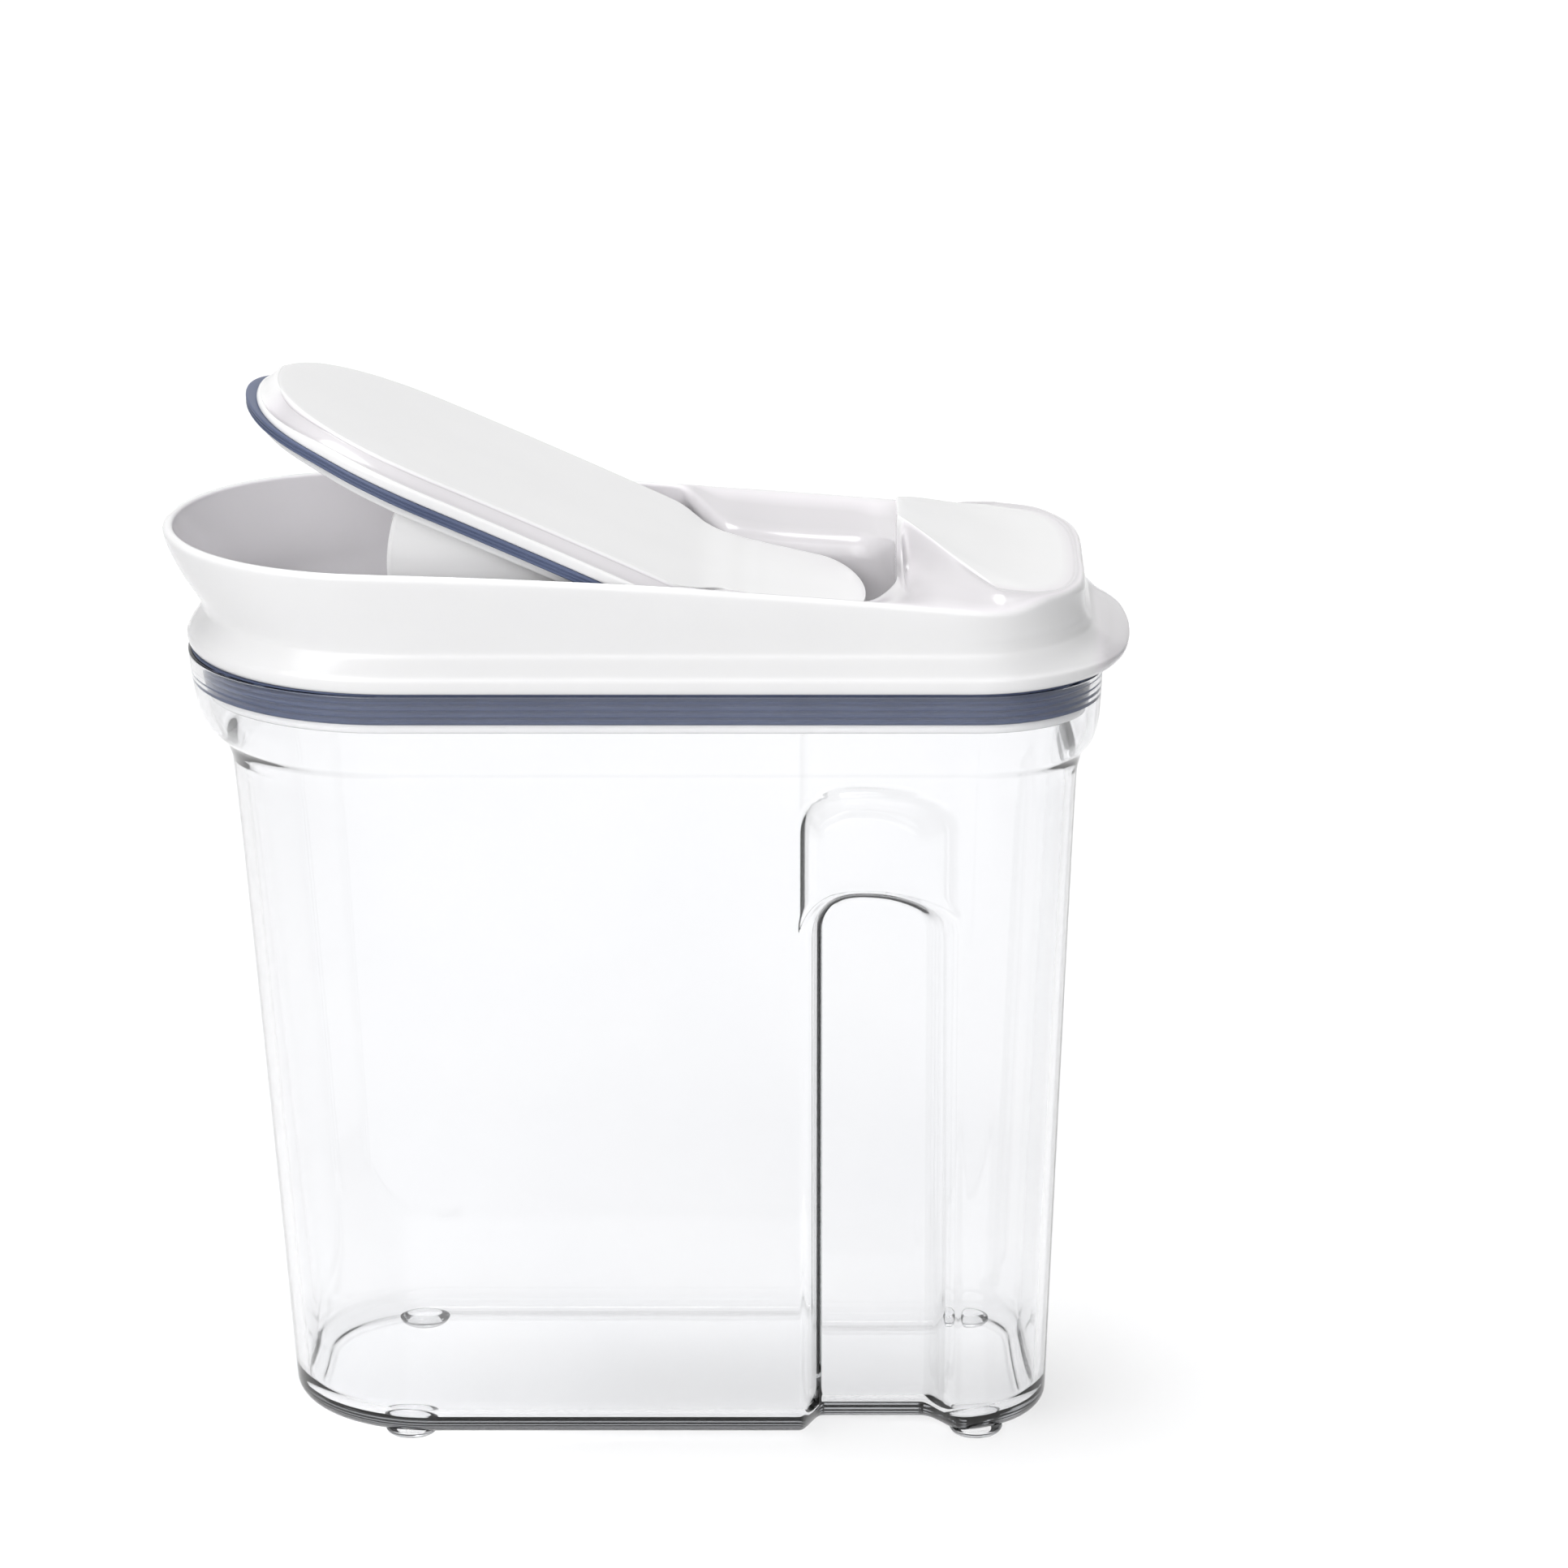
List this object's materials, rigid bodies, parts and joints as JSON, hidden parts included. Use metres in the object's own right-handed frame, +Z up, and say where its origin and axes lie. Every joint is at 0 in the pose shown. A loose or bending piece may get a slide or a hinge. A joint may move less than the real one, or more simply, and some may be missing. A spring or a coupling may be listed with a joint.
{
  "type": "cereal container with flip spout",
  "caption": "Tapered clear food container with a gasketed lift-off lid, a pouring lip and a hinged flap that a finger tips open.",
  "frame": {"origin": "on the resting surface, under the middle of the overall length and width", "axes": "+Z up, -X towards the pouring lip, +X towards the lift tab, Y across the width"},
  "size_m": [0.249, 0.106, 0.2747],
  "materials": {
    "clear_plastic": "clear, glossy moulded plastic",
    "white_plastic": "white, satin gloss moulded plastic",
    "seal": "slate grey-blue soft rubber with a satin sheen"
  },
  "bodies": {
    "container": {"tub": "clear_plastic", "feet": "clear_plastic"},
    "lid": {"lid_shell": "white_plastic", "lid_base": "white_plastic", "lid_seal": "seal", "hinge_pin_left": "white_plastic", "hinge_pin_right": "white_plastic"},
    "flap": {"flap_cover": "white_plastic", "flap_seal": "seal", "flap_liner": "white_plastic"}
  },
  "joints": [
    {"name": "lid_lift", "type": "slide", "parent": "container", "child": "lid", "axis": [0, 0, 1], "range_m": [0, 0.04]},
    {"name": "flap_hinge", "type": "hinge", "parent": "lid", "child": "flap", "pos_m": [0.00125, 0, 0.212], "axis": [0, 1, 0], "range_deg": [-21.8, 0]}
  ]
}
